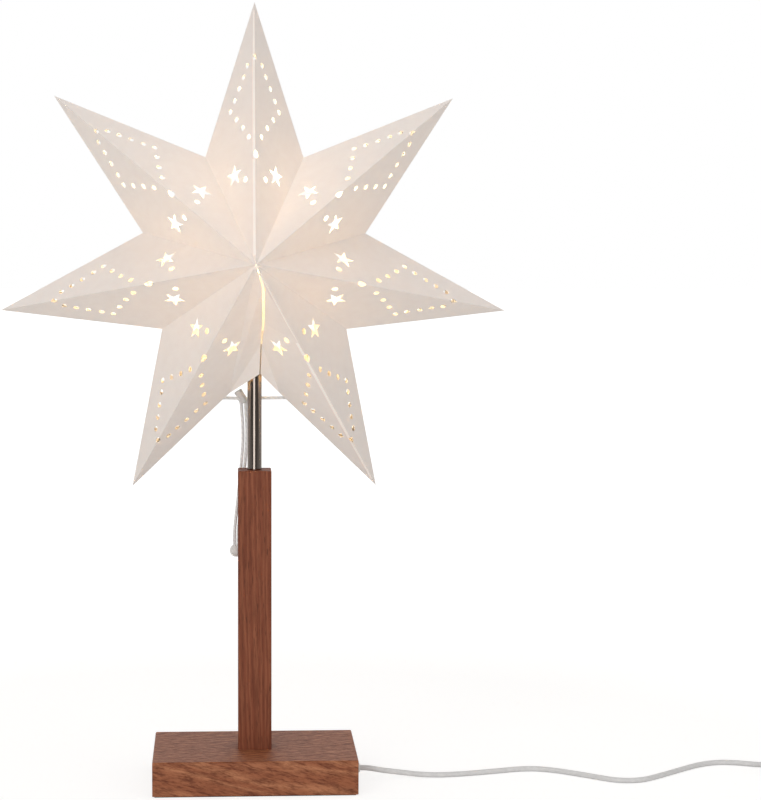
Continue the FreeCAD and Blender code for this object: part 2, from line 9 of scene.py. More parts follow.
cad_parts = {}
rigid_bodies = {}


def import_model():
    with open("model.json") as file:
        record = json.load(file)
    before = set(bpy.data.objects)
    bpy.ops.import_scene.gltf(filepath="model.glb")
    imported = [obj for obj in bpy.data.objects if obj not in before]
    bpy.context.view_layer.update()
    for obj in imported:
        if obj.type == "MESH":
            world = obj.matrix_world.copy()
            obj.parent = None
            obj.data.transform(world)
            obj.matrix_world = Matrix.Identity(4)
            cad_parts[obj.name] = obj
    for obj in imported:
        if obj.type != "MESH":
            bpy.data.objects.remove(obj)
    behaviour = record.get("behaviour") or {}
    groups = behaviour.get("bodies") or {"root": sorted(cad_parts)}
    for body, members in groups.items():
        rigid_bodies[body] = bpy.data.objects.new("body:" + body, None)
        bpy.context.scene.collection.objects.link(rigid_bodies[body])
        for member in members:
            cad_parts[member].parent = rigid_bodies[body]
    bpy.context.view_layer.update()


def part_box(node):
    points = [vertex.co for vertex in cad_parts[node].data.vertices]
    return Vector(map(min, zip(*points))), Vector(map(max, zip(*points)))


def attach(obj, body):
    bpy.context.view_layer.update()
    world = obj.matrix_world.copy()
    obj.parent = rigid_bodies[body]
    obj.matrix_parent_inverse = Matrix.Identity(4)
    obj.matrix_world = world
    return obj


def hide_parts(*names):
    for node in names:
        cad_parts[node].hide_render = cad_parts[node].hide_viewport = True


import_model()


# Foot: a board and a square post of walnut, planed, sanded and rubbed with oil, the post glued and screwed
# upright on the board. The board's grain runs from left to right and the post's from bottom to top.
def linear(code):
    """An sRGB colour such as "#e8e2e0" as the linear values that shaders take."""
    channels = [int(code[i:i + 2], 16) / 255 for i in (1, 3, 5)]
    return [c / 12.92 if c <= 0.04045 else ((c + 0.055) / 1.055) ** 2.4 for c in channels] + [1.0]


def add(tree, kind, inputs=None, stops=(), **settings):
    """A node with its settings, ramp stops and inputs; a node or socket given as an input is linked."""
    node = tree.nodes.new("ShaderNode" + kind)
    for key, value in settings.items():
        setattr(node, key, value)
    for key, value in (inputs or {}).items():
        if isinstance(value, bpy.types.Node):
            value = value.outputs[0]
        if isinstance(value, bpy.types.NodeSocket):
            tree.links.new(value, node.inputs[key])
        else:
            node.inputs[key].default_value = linear(value) if isinstance(value, str) else value
    for i, (position, colour) in enumerate(stops):
        elements = node.color_ramp.elements
        element = elements[i] if i < len(elements) else elements.new(position)
        element.position = position
        element.color = linear(colour) if isinstance(colour, str) else [colour] * 3 + [1.0]
    return node


def begin(name):
    """A new material, its empty node tree and the coordinates in metres."""
    material = bpy.data.materials.new(name)
    material.use_nodes = True
    material.node_tree.nodes.clear()
    return material, material.node_tree, add(material.node_tree, "TexCoord").outputs["Object"]


def cover(material, *names):
    """Puts a material on CAD nodes."""
    for name in names:
        for slot in bpy.data.objects[name].material_slots:
            slot.link = "OBJECT"
            slot.material = material


# Oiled walnut: soft brown figure, short dark flecks of fibres and open pores; the board's grain slopes a
# little. Pores are 0.2 mm wide in the wood, and drawn 0.6 mm wide so that they show
for name, node, direction, slope, stretch, pith, ring_scale, tones, contrast in (
    ("oiled_walnut_board", "base_board", "X", 0.24, (5.5, 1, 1), (0.02, 0.09, -0.06), 34.0,
     ("#74412b", "#9c5d3d", "#b67955"), 0.9),
    ("oiled_walnut_post", "post", "Z", -0.02, (1, 1, 14), (-0.05, 0.06, 0.1), 80.0,
     ("#572c18", "#804228", "#905336"), 0.45),
):
    walnut, tree, place = begin(name)
    grain = add(tree, "Mapping", {"Vector": place, "Location": pith, "Rotation": (0, slope, 0),
                                  "Scale": stretch}, vector_type="TEXTURE")
    rings = add(tree, "TexWave", {"Vector": grain, "Scale": ring_scale, "Distortion": 7.0, "Detail": 3.0,
                                  "Detail Scale": 0.9, "Detail Roughness": 0.6},
                wave_type="RINGS", rings_direction=direction)
    bands = add(tree, "ValToRGB", {"Fac": rings.outputs["Fac"]},
                [(0.0, tones[1]), (0.7, tones[2]), (1.0, tones[1])])
    fibres = add(tree, "TexNoise", {"Vector": grain, "Scale": 620.0, "Detail": 5.0, "Roughness": 0.7})
    streaks = add(tree, "ValToRGB", {"Fac": fibres}, [(0.36, "#9c8272"), (0.58, "#ffffff")])
    pores = add(tree, "TexNoise", {"Vector": grain, "Scale": 1500.0, "Detail": 1.0})
    open_pores = add(tree, "ValToRGB", {"Fac": pores}, [(0.63, 0.0), (0.74, 0.8)])
    lined = add(tree, "Mix", {0: contrast, 6: bands, 7: streaks}, data_type="RGBA", blend_type="MULTIPLY")
    colour = add(tree, "Mix", {0: open_pores, 6: lined.outputs[2], 7: tones[0]}, data_type="RGBA")
    gloss = add(tree, "ValToRGB", {"Fac": fibres}, [(0.3, 0.62), (0.7, 0.5)])
    relief = add(tree, "Math", {0: fibres, 1: open_pores}, operation="SUBTRACT")
    dents = add(tree, "Bump", {"Height": relief, "Strength": 0.25, "Distance": 0.0003})
    shader = add(tree, "BsdfPrincipled", {"Base Color": colour.outputs[2], "Roughness": gloss,
                                          "Normal": dents, "IOR": 1.5, "Specular IOR Level": 0.35})
    add(tree, "OutputMaterial", {"Surface": shader})
    cover(walnut, node)

# Sheet of wool felt glued under the board, cut a little smaller than it, so that the foot stands softly.
# Pressed wool: matt dark grey, with short tangled fibres
felt, tree, place = begin("pressed_wool_felt")
tangle = add(tree, "TexNoise", {"Vector": place, "Scale": 1400.0, "Detail": 6.0, "Roughness": 0.75})
colour = add(tree, "ValToRGB", {"Fac": tangle}, [(0.3, "#2b2826"), (0.7, "#4b4643")])
fuzz = add(tree, "Bump", {"Height": tangle, "Strength": 0.8, "Distance": 0.0004})
shader = add(tree, "BsdfPrincipled", {"Base Color": colour, "Roughness": 0.95, "Normal": fuzz,
                                      "Sheen Weight": 0.3})
add(tree, "OutputMaterial", {"Surface": shader})
cover(felt, "base_felt")

# Stem: a steel tube bonded into the post, with a zinc-plated washer and thin nut in the board's pocket.
# Drawn steel, brushed along its length: fine upright lines that spread each reflection sideways
steel, tree, place = begin("brushed_steel_tube")
lengthwise = add(tree, "Mapping", {"Vector": place, "Scale": (1, 1, 0.012)})
lines = add(tree, "TexNoise", {"Vector": lengthwise, "Scale": 3200.0, "Detail": 3.0, "Roughness": 0.6})
colour = add(tree, "ValToRGB", {"Fac": lines}, [(0.3, "#8f847c"), (0.7, "#a79c94")])
gloss = add(tree, "ValToRGB", {"Fac": lines}, [(0.3, 0.08), (0.7, 0.12)])
scratches = add(tree, "Bump", {"Height": lines, "Strength": 0.02, "Distance": 0.0001})
around = add(tree, "Tangent", direction_type="RADIAL", axis="Z")
shader = add(tree, "BsdfPrincipled", {"Base Color": colour, "Metallic": 1.0, "Roughness": gloss,
                                      "Normal": scratches, "Anisotropic": 0.85, "Tangent": around})
add(tree, "OutputMaterial", {"Surface": shader})


def link_mesh(name, shape, material):
    """An object of one material from a finished bmesh."""
    mesh = bpy.data.meshes.new(name)
    shape.to_mesh(mesh)
    shape.free()
    mesh.materials.append(material)
    piece = bpy.data.objects.new(name, mesh)
    bpy.context.collection.objects.link(piece)
    return piece


# The tube itself, with a 1 mm wall, its ends broken with a fine bevel. A ring just inside each end keeps the
# bevel's slope out of the long wall's shading
tube_radius = 5.0
tube_bore = 4.0
tube_low = 9.3
tube_high = 314.3
tube_bevel = 0.15
tube_inset = 1.0
tube_sides = 128
tube_profile = [
    (tube_bore, tube_low), (tube_radius - tube_bevel, tube_low), (tube_radius, tube_low + tube_bevel),
    (tube_radius, tube_low + tube_inset), (tube_radius, tube_high - tube_inset),
    (tube_radius, tube_high - tube_bevel), (tube_radius - tube_bevel, tube_high), (tube_bore, tube_high),
]
# The walls above these rings, outside and inside, are round; the bevels and the ends are flat
round_walls = (2, 3, 4, 7)
tube = bmesh.new()
rings = []
for radius, height in tube_profile:
    ring = []
    for i in range(tube_sides):
        turn = 2 * math.pi * i / tube_sides
        ring.append(tube.verts.new((radius / 1000 * math.cos(turn), radius / 1000 * math.sin(turn),
                                    height / 1000)))
    rings.append(ring)
for number, ring in enumerate(rings):
    above = rings[(number + 1) % len(rings)]
    for i in range(tube_sides):
        j = (i + 1) % tube_sides
        tube.faces.new([ring[i], ring[j], above[j], above[i]]).smooth = number in round_walls
bmesh.ops.recalc_face_normals(tube, faces=tube.faces)
brushed_stem = link_mesh("brushed_stem", tube, steel)
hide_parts("stem_tube")
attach(brushed_stem, "root")

# Zinc plating on steel: bluish grey, half matt, with a faint cloudy spangle
zinc, tree, place = begin("zinc_plated_steel")
clouds = add(tree, "TexNoise", {"Vector": place, "Scale": 420.0, "Detail": 3.0})
colour = add(tree, "ValToRGB", {"Fac": clouds}, [(0.3, "#a3a7ab"), (0.7, "#c3c6c9")])
gloss = add(tree, "ValToRGB", {"Fac": clouds}, [(0.3, 0.3), (0.7, 0.45)])
shader = add(tree, "BsdfPrincipled", {"Base Color": colour, "Metallic": 1.0, "Roughness": gloss})
add(tree, "OutputMaterial", {"Surface": shader})
cover(zinc, "stem_washer", "stem_nut")

# Lamp holder: two moulded halves screwed together on the tube's end, round a glazed ceramic core.
# Moulded phenolic plastic, cream white: smooth, with the faintest orange-peel from the mould
plastic, tree, place = begin("moulded_white_phenolic")
peel = add(tree, "TexNoise", {"Vector": place, "Scale": 650.0, "Detail": 2.0})
colour = add(tree, "ValToRGB", {"Fac": peel}, [(0.3, "#e6e3dc"), (0.7, "#edeae4")])
skin = add(tree, "Bump", {"Height": peel, "Strength": 0.1, "Distance": 0.0003})
shader = add(tree, "BsdfPrincipled", {"Base Color": colour, "Roughness": 0.38, "Normal": skin})
add(tree, "OutputMaterial", {"Surface": shader})
cover(plastic, "holder_cap", "holder_sleeve")

# Pressed and glazed steatite for the core: white, glossy, with small dark specks
ceramic, tree, place = begin("glazed_steatite")
specks = add(tree, "TexNoise", {"Vector": place, "Scale": 1500.0, "Detail": 1.0})
colour = add(tree, "ValToRGB", {"Fac": specks}, [(0.66, "#eeece6"), (0.74, "#b9b2a6")])
shader = add(tree, "BsdfPrincipled", {"Base Color": colour, "Roughness": 0.2})
add(tree, "OutputMaterial", {"Surface": shader})
cover(ceramic, "holder_core")

# Stamped brass for the screw shell and the contact: yellow metal with dull finger-brown spots
brass, tree, place = begin("stamped_brass")
spots = add(tree, "TexNoise", {"Vector": place, "Scale": 500.0, "Detail": 4.0})
colour = add(tree, "ValToRGB", {"Fac": spots}, [(0.3, "#b58a4a"), (0.7, "#dcb672")])
gloss = add(tree, "ValToRGB", {"Fac": spots}, [(0.3, 0.38), (0.7, 0.24)])
shader = add(tree, "BsdfPrincipled", {"Base Color": colour, "Metallic": 1.0, "Roughness": gloss})
add(tree, "OutputMaterial", {"Surface": shader})
cover(brass, "holder_shell", "holder_contact")

# Bulb: a small frosted globe, lit, screwed into the holder by its metal cap.
# Blown glass, etched white inside: the globe glows a warm white, yellower towards its neck; the cap is rolled
# nickelled brass
bulb, tree, place = begin("etched_glass_lit")
etch = add(tree, "TexNoise", {"Vector": place, "Scale": 900.0, "Detail": 2.0})
tone = add(tree, "ValToRGB", {"Fac": etch}, [(0.3, "#f4eee2"), (0.7, "#fbf7ee")])
height = add(tree, "SeparateXYZ", {"Vector": place}).outputs["Z"]
cap_height = 0.0235
neck_height = 0.004
globe_height = 0.03
globe_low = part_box("bulb")[0][2] + cap_height
rise = add(tree, "MapRange", {"Value": height, "From Min": globe_low + neck_height,
                              "From Max": globe_low + globe_height})
glow = add(tree, "ValToRGB", {"Fac": rise}, [(0.0, "#ffd27c"), (1.0, "#fff0cd")])
glass = add(tree, "BsdfPrincipled", {"Base Color": tone, "Roughness": 0.35, "Emission Color": glow,
                                     "Emission Strength": 26.0})
cap_tone = add(tree, "ValToRGB", {"Fac": etch}, [(0.3, "#b3aea4"), (0.7, "#cfcabf")])
cap = add(tree, "BsdfPrincipled", {"Base Color": cap_tone, "Metallic": 1.0, "Roughness": 0.32})
above = add(tree, "Math", {0: height, 1: globe_low}, operation="GREATER_THAN")
shader = add(tree, "MixShader", {0: above, 1: cap, 2: glass})
add(tree, "OutputMaterial", {"Surface": shader})
cover(bulb, "bulb")

# Star: fourteen folded leaves of stiff white paper, punched with dots and small stars, glued edge to edge.
# Matt machine-made paper: soft cloudy formation, fine fibres, and it lets an eighth of the bulb's light
# through. Where two layers are glued together it is paler, and a faint painted glow makes it a little brighter
papers = []
for name, tones, share, painted_glow in (
    ("matt_white_paper", ("#f5efeb", "#f7f2ee"), 0.12, 0.0),
    ("matt_white_paper_doubled_painted_glow", ("#fbf7f5", "#fdfaf9"), 0.2, 0.13),
):
    paper, tree, place = begin(name)
    formation = add(tree, "TexNoise", {"Vector": place, "Scale": 160.0, "Detail": 3.0})
    fibres = add(tree, "TexNoise", {"Vector": place, "Scale": 2200.0, "Detail": 3.0, "Roughness": 0.7})
    cloud = add(tree, "Mix", {0: 0.35, 2: formation, 3: fibres}, data_type="FLOAT")
    tone = add(tree, "ValToRGB", {"Fac": cloud}, [(0.35, tones[0]), (0.65, tones[1])])
    through_tone = add(tree, "ValToRGB", {"Fac": cloud}, [(0.35, "#f1e2d3"), (0.65, "#f8ecdf")])
    tooth = add(tree, "Bump", {"Height": fibres, "Strength": 0.12, "Distance": 0.0002})
    # The emission is a painted glow: none on the single paper, faint on the doubled paper of the seams
    face = add(tree, "BsdfPrincipled", {"Base Color": tone, "Roughness": 0.82, "Normal": tooth,
                                        "Specular IOR Level": 0.3, "Emission Color": "#ffe9d6",
                                        "Emission Strength": painted_glow})
    through = add(tree, "BsdfTranslucent", {"Color": through_tone, "Normal": tooth})
    shader = add(tree, "MixShader", {0: share, 1: face, 2: through})
    add(tree, "OutputMaterial", {"Surface": shader})
    papers.append(paper)
cover(papers[0], *[f"star_leaf_{i:02d}" for i in range(2, 14)])

# The two end leaves stand free at the slit, where the star is put over the tube. They are the same paper, and
# their lower corners lift forward over a soft fold
corner_reach = 1.2
for number, corner, lift in (("01", (3.1, -7.8, 285.3), 5.5), ("14", (3.9, -7.8, 285.3), 3.5)):
    shape = bpy.data.objects["star_leaf_" + number].data.copy()
    if "custom_normal" in shape.attributes:
        shape.attributes.remove(shape.attributes["custom_normal"])
    for vertex in shape.vertices:
        if (vertex.co * 1000 - Vector(corner)).length < corner_reach:
            vertex.co.y -= lift / 1000
    shape.materials.clear()
    shape.materials.append(papers[0])
    leaf = bpy.data.objects.new("end_leaf_" + number, shape)
    bpy.context.collection.objects.link(leaf)
    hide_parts("star_leaf_" + number)
    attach(leaf, "root")

# Glued seams: strips of the same paper, 2.8 mm wide, over the top ridge and over the lower right one.
# Each lies flat on one leaf beside the ridge, and is punched with the ridge's two holes
seam_width = 2.8
seam_thick = 0.14
star_centre = Vector((0, 0, 361.9))
tip_radius = 176.1
notch_radius = 78.5
half_depth = 77.0
leaf_turn = 25.25
front = Vector((0, -half_depth, 0))
ridge_length = math.hypot(half_depth, tip_radius)
inner_hole, inner_hole_radius = 79.5, 3.0
outer_hole, outer_hole_radius = 151.2, 2.3
bend_along_ridge = 66.0
seam_start = 7.0
seam_stop = ridge_length - 6.0
tip_taper = 0.2
least_width = 0.3
bite_steps = 8
seam_gap = 0.02
left_slit_side = Vector((4.4, -62.4, -15.7))
right_slit_side = Vector((6.0, -62.4, -15.7))
seams = bmesh.new()


def radial(angle):
    """The direction at an angle in degrees round the star, seen from its front."""
    return Vector((math.cos(math.radians(angle)), 0, math.sin(math.radians(angle))))


def seam_outline(start, end):
    """Corners (along, across) of a strip between two places on the ridge; the outer hole bites into it."""
    corners = [(start, 0.0), (start, seam_width), (end, seam_width), (end, 0.0)]
    if start < outer_hole < end:
        turns = [math.pi * step / bite_steps for step in range(bite_steps + 1)]
        corners = [(outer_hole + outer_hole_radius * math.cos(turn), outer_hole_radius * math.sin(turn))
                   for turn in turns] + corners
    return corners


def outward(one, other):
    """The normal of the plane through two directions, pointing to the star's front."""
    normal = one.cross(other).normalized()
    return normal if normal.y <= 0 else -normal


def add_sheet(low, high):
    """A thin sheet between two outlines round the star's centre, on its front and mirrored on its back."""
    for mirror in (1, -1):
        layers = []
        for outline in (low, high):
            spots = [star_centre + spot for spot in outline]
            layers.append([seams.verts.new((s.x / 1000, mirror * max(s.y, -half_depth) / 1000, s.z / 1000))
                           for s in spots])
        under, over = layers
        seams.faces.new(over)
        seams.faces.new(under[::-1])
        for i in range(len(under)):
            j = (i + 1) % len(under)
            seams.faces.new([under[i], under[j], over[j], over[i]])


for tip_angle, lying_on, bent in ((90.0, 1, False), (-61.5, -1, True)):
    along = (radial(tip_angle) * tip_radius - front).normalized()
    flat_side = radial(tip_angle + lying_on * leaf_turn) * notch_radius
    for start, end, beside in (
        (seam_start, bend_along_ridge, right_slit_side if bent else flat_side),
        (bend_along_ridge, inner_hole - inner_hole_radius, flat_side),
        (inner_hole + inner_hole_radius, seam_stop, flat_side),
    ):
        across = beside - front
        across = (across - along * across.dot(along)).normalized()
        normal = outward(along, across)
        flat = []
        for u, v in seam_outline(start, end):
            narrowed = min(v, max(least_width, (ridge_length - u) * tip_taper))
            flat.append(front + along * u + across * narrowed)
        add_sheet([spot + normal * seam_gap for spot in flat],
                  [spot + normal * (seam_gap + seam_thick) for spot in flat])

# The end leaves' points are pasted down over each other where all the leaves meet, front and back
paste_reach = 4.2
paste_gap = 0.03
for tip_angle, inner in ((-118.5, left_slit_side), (-61.5, right_slit_side)):
    on_ridge = front + (radial(tip_angle) * tip_radius - front).normalized() * paste_reach
    on_edge = front + (inner - front).normalized() * paste_reach
    normal = outward(on_ridge - front, on_edge - front)
    flat = [front, on_ridge, on_edge]
    add_sheet([spot + normal * paste_gap for spot in flat],
              [spot + normal * (paste_gap + seam_thick) for spot in flat])

# A narrow hem of the right end leaf bridges the slit's top, leaving a line of light on either side
hem_thick = 0.25
hem = [Vector(spot) for spot in (
    (0.3, -76.75, -0.9), (1.3, -76.7, -0.7), (6.1, -63.3, -15.4), (5.3, -63.4, -15.9))]
add_sheet(hem, [spot - Vector((0, hem_thick, 0)) for spot in hem])
bmesh.ops.recalc_face_normals(seams, faces=seams.faces)
# The seams take the doubled paper, with its faint painted glow
paper_seams = link_mesh("paper_seams", seams, papers[1])
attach(paper_seams, "root")

# Tie: two soft strings through the end leaves that draw the star's free edges together behind the tube.
# Plaited polyester, 2.2 mm thick, off-white and soft, with fine slanting strands; each string has a knot
# outside its leaf
string, tree, place = begin("plaited_polyester_string")
plait = add(tree, "TexWave", {"Vector": place, "Scale": 180.0, "Distortion": 1.5, "Detail": 1.0},
            bands_direction="DIAGONAL")
fibres = add(tree, "TexNoise", {"Vector": place, "Scale": 2600.0, "Detail": 3.0})
colour = add(tree, "ValToRGB", {"Fac": plait.outputs["Fac"]}, [(0.1, "#e2e2e2"), (0.6, "#ececec")])
strands = add(tree, "Math", {0: plait.outputs["Fac"], 1: fibres}, operation="ADD")
relief = add(tree, "Bump", {"Height": strands, "Strength": 0.2, "Distance": 0.0002})
shader = add(tree, "BsdfPrincipled", {"Base Color": colour, "Roughness": 0.8, "Normal": relief,
                                      "Sheen Weight": 0.2})
add(tree, "OutputMaterial", {"Surface": shader})


def lay_spline(name, routes, radius, material, closed=False):
    """Round cord on smooth splines through control points in millimetres."""
    curve = bpy.data.curves.new(name, "CURVE")
    curve.dimensions = "3D"
    curve.bevel_depth = radius
    curve.bevel_resolution = 5
    curve.resolution_u = 8
    curve.use_fill_caps = not closed
    for route in routes:
        spline = curve.splines.new("NURBS")
        spline.points.add(len(route) - 1)
        for point, spot in zip(spline.points, route):
            point.co = [c / 1000 for c in spot] + [1]
        spline.order_u = 3
        spline.use_endpoint_u = not closed
        spline.use_cyclic_u = closed
    curve.materials.append(material)
    piece = bpy.data.objects.new(name, curve)
    bpy.context.collection.objects.link(piece)
    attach(piece, "root")
    return piece


string_radius = 0.0011
left_route = [
    (-32.8, 6.4, 267.4), (-13, 6.4, 267.4), (-10.3, 7.2, 266.6), (-9, 7.9, 263.2), (-8.7, 9.2, 257),
    (-7.9, 10.4, 247), (-7.9, 11.9, 236), (-8.8, 13.1, 224), (-9.8, 13.9, 212), (-11, 14.6, 200),
    (-12.3, 15.3, 188), (-13.6, 15.9, 176), (-13.9, 16.4, 168), (-13.9, 16.4, 163.2),
]
right_route = [
    (32.8, 6.4, 267.4), (-2.6, 6.4, 267.4), (-5.3, 7.3, 266.5), (-6.2, 7.9, 263.2), (-5.9, 9.3, 257),
    (-5.1, 10.8, 247), (-5.3, 12.4, 236), (-6.2, 13.6, 224), (-7.2, 14.3, 212), (-8.4, 15, 200),
    (-9.7, 15.7, 188), (-11, 16.3, 176), (-11.4, 16.6, 168), (-11.4, 16.6, 163.2),
]
tie_left = lay_spline("tie_left", [left_route], string_radius, string)
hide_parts("tie_string_left")
tie_right = lay_spline("tie_right", [right_route], string_radius, string)
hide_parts("tie_string_right")

# Each knot is the string's own end, tied over itself and pulled tight against the leaf
knot_size = 0.75
knot_steps = 24
knot_radius = 0.00095
knot_out, knot_back, knot_height = 33.9, 6.4, 267.4
knot_routes = []
for side in (-1, 1):
    route = []
    for step in range(knot_steps):
        turn = 2 * math.pi * step / knot_steps
        route.append((
            side * knot_out + knot_size * math.sin(3 * turn),
            knot_back + knot_size * (math.sin(turn) + 2 * math.sin(2 * turn)),
            knot_height + knot_size * (math.cos(turn) - 2 * math.cos(2 * turn))))
    knot_routes.append(route)
tie_end_knots = lay_spline("tie_end_knots", knot_routes, knot_radius, string, closed=True)
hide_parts("tie_knots")

# Stopper on the two strings: a small hollow barrel that grips them, its upper end open.
# Moulded natural polypropylene: milky grey with a satin skin
milky, tree, place = begin("natural_polypropylene")
haze = add(tree, "TexNoise", {"Vector": place, "Scale": 350.0, "Detail": 2.0})
colour = add(tree, "ValToRGB", {"Fac": haze}, [(0.3, "#cecdcc"), (0.7, "#dbdad9")])
satin = add(tree, "Bump", {"Height": haze, "Strength": 0.1, "Distance": 0.0003})
shader = add(tree, "BsdfPrincipled", {"Base Color": colour, "Roughness": 0.33, "IOR": 1.49, "Normal": satin,
                                      "Subsurface Weight": 0.15})
add(tree, "OutputMaterial", {"Surface": shader})
barrel_low = Vector((-6.4, 8.0, 264.2))
barrel_lean = Vector((-0.539, 0.0, 0.843)).normalized()
barrel_profile = [
    (0.0, 0.0), (1.9, 0.0), (2.6, 0.25), (2.9, 0.8), (3.0, 1.4), (2.8, 3.4), (2.75, 5.0), (2.8, 6.8),
    (3.0, 8.6), (2.9, 9.3), (2.6, 9.6), (2.1, 9.5), (1.9, 9.0), (1.8, 7.0), (0.0, 6.8),
]
barrel_sides = 32
barrel = bmesh.new()
side = Vector((0, 1, 0))
other_side = barrel_lean.cross(side)
rings = []
for radius, height in barrel_profile:
    ring = []
    for step in range(barrel_sides if radius else 1):
        turn = 2 * math.pi * step / barrel_sides
        spoke = side * math.cos(turn) + other_side * math.sin(turn)
        ring.append(barrel.verts.new((barrel_low + barrel_lean * height + spoke * radius) / 1000))
    rings.append(ring)
for ring, above in zip(rings, rings[1:]):
    for i in range(barrel_sides):
        j = (i + 1) % barrel_sides
        corners = [ring[i % len(ring)], ring[j % len(ring)], above[j % len(above)], above[i % len(above)]]
        barrel.faces.new(list(dict.fromkeys(corners))).smooth = True
bmesh.ops.recalc_face_normals(barrel, faces=barrel.faces)
stopper_barrel = link_mesh("stopper_barrel", barrel, milky)
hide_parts("tie_stopper")
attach(stopper_barrel, "root")

# Bead that joins the strings' lower ends: a moulded ball with a flat top, glued on them.
# Moulded polystyrene, pale grey-white and glossy
bead, tree, place = begin("moulded_polystyrene_bead")
peel = add(tree, "TexNoise", {"Vector": place, "Scale": 500.0, "Detail": 2.0})
colour = add(tree, "ValToRGB", {"Fac": peel}, [(0.3, "#dbdad8"), (0.7, "#e8e7e5")])
skin = add(tree, "Bump", {"Height": peel, "Strength": 0.08, "Distance": 0.0003})
shader = add(tree, "BsdfPrincipled", {"Base Color": colour, "Roughness": 0.28, "Normal": skin})
add(tree, "OutputMaterial", {"Surface": shader})
cover(bead, "tie_bead")

# Mains cord: round white two-core lead from the foot along the table, the rest of it in a neat coil.
# Extruded PVC: smooth, half glossy, with very slight ripples from the twisted cores
white_pvc, tree, place = begin("extruded_white_pvc")
ripple = add(tree, "TexNoise", {"Vector": place, "Scale": 300.0, "Detail": 2.0})
colour = add(tree, "ValToRGB", {"Fac": ripple}, [(0.3, "#d6d7d8"), (0.7, "#dfe0e1")])
skin = add(tree, "Bump", {"Height": ripple, "Strength": 0.15, "Distance": 0.0003})
shader = add(tree, "BsdfPrincipled", {"Base Color": colour, "Roughness": 0.4, "Normal": skin})
add(tree, "OutputMaterial", {"Surface": shader})
cover(white_pvc, "cord_inside")

cord_route = [
    (73.5, 0, 8), (79, 0, 8), (88.5, -0.4, 6.2), (101, 0.5, 4.4), (116, -0.5, 2.7), (132, 0.4, 1.95),
    (152, 4.5, 1.95), (174, 11.3, 1.95), (188, 15.9, 1.95), (200, 16.2, 1.95), (213, 10.3, 1.95),
    (228, -1.4, 1.95), (242, -13.6, 1.95), (249.3, -19.5, 1.95), (256.8, -22.2, 1.95), (264.6, -22.2, 1.95),
    (272.1, -19.4, 1.95), (281.5, -11.6, 1.95), (296, 2.0, 1.95), (309, 14.6, 1.95), (320, 23.6, 1.95),
    (333, 29.3, 1.95), (346, 27.3, 1.95), (357, 21.8, 1.95), (366, 19.4, 1.95), (375, 19.4, 2.2),
]
# Each turn's radius and height, so that the turns lie beside and on each other. Each turn is level for most of
# its way and then swings over to the next
turns = [
    (26.9, 2.9), (23.1, 2.9), (19.3, 2.9), (15.5, 2.9), (17.4, 6.2), (15.5, 9.5),
    (19.3, 9.5), (21.2, 6.2), (25.0, 6.2), (23.1, 9.5), (26.9, 9.5),
]
coil_centre = (391, -7.5)
coil_start = 90
turn_steps = 16
level_steps = 11
# Splines cut the corners between their points, so the points stand a little further out
corner_cut = math.cos(math.pi / turn_steps) ** 0.5
for turn, (radius, height) in enumerate(turns):
    next_radius, next_height = turns[min(turn + 1, len(turns) - 1)]
    for step in range(turn_steps):
        share = max(0.0, (step - level_steps) / (turn_steps - level_steps))
        share = share * share * (3 - 2 * share)
        r = (radius + (next_radius - radius) * share) / corner_cut
        angle = math.radians(coil_start - 360 * step / turn_steps)
        cord_route.append((
            coil_centre[0] + r * math.cos(angle), coil_centre[1] + r * math.sin(angle),
            height + (next_height - height) * share))
cord_route += [
    (401.5, 17.3, 9.5), (410.3, 11.6, 9.5), (416.1, 2.8, 9.5), (417.9, -7.5, 9.3), (417.9, -20, 8.2),
    (417.9, -33.5, 7),
]
cord_radius = 0.0019
mains_cord = lay_spline("mains_cord", [cord_route], cord_radius, white_pvc)
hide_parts("cord_run", "cord_coil")

# Grommet in the foot's side, a tapered sleeve that keeps the cord from kinking there.
# Moulded soft rubber, white: matt, with a dusty bloom
rubber, tree, place = begin("moulded_white_rubber")
bloom = add(tree, "TexNoise", {"Vector": place, "Scale": 800.0, "Detail": 4.0})
colour = add(tree, "ValToRGB", {"Fac": bloom}, [(0.3, "#dddcd9"), (0.7, "#e9e8e6")])
skin = add(tree, "Bump", {"Height": bloom, "Strength": 0.2, "Distance": 0.0002})
shader = add(tree, "BsdfPrincipled", {"Base Color": colour, "Roughness": 0.62, "Normal": skin})
add(tree, "OutputMaterial", {"Surface": shader})
cover(rubber, "cord_grommet")

# Plug on the cord's end, moulded round it in one piece, with a tapered sleeve for the cord.
# Moulded PVC, white: finely spark-eroded grip faces, half matt
plug_pvc, tree, place = begin("moulded_white_pvc")
grit = add(tree, "TexNoise", {"Vector": place, "Scale": 1800.0, "Detail": 2.0})
colour = add(tree, "ValToRGB", {"Fac": grit}, [(0.3, "#e6e6e5"), (0.7, "#eeeeed")])
skin = add(tree, "Bump", {"Height": grit, "Strength": 0.3, "Distance": 0.0002})
shader = add(tree, "BsdfPrincipled", {"Base Color": colour, "Roughness": 0.5, "Normal": skin})
add(tree, "OutputMaterial", {"Surface": shader})
cover(plug_pvc, "plug_body")

# Pins: turned from brass rod and moulded into the plug, each with a short insulating sleeve of black nylon.
# Bright nickel plating on the brass: warm grey metal, with fine turning marks; the nylon is half matt
nickel, tree, place = begin("nickel_plated_brass")
turned = add(tree, "TexNoise", {"Vector": place, "Scale": 2400.0, "Detail": 2.0})
colour = add(tree, "ValToRGB", {"Fac": turned}, [(0.3, "#b9b6ae"), (0.7, "#d2cfc8")])
gloss = add(tree, "ValToRGB", {"Fac": turned}, [(0.3, 0.18), (0.7, 0.28)])
shader = add(tree, "BsdfPrincipled", {"Base Color": colour, "Metallic": 1.0, "Roughness": gloss})
add(tree, "OutputMaterial", {"Surface": shader})
cover(nickel, "plug_pins")

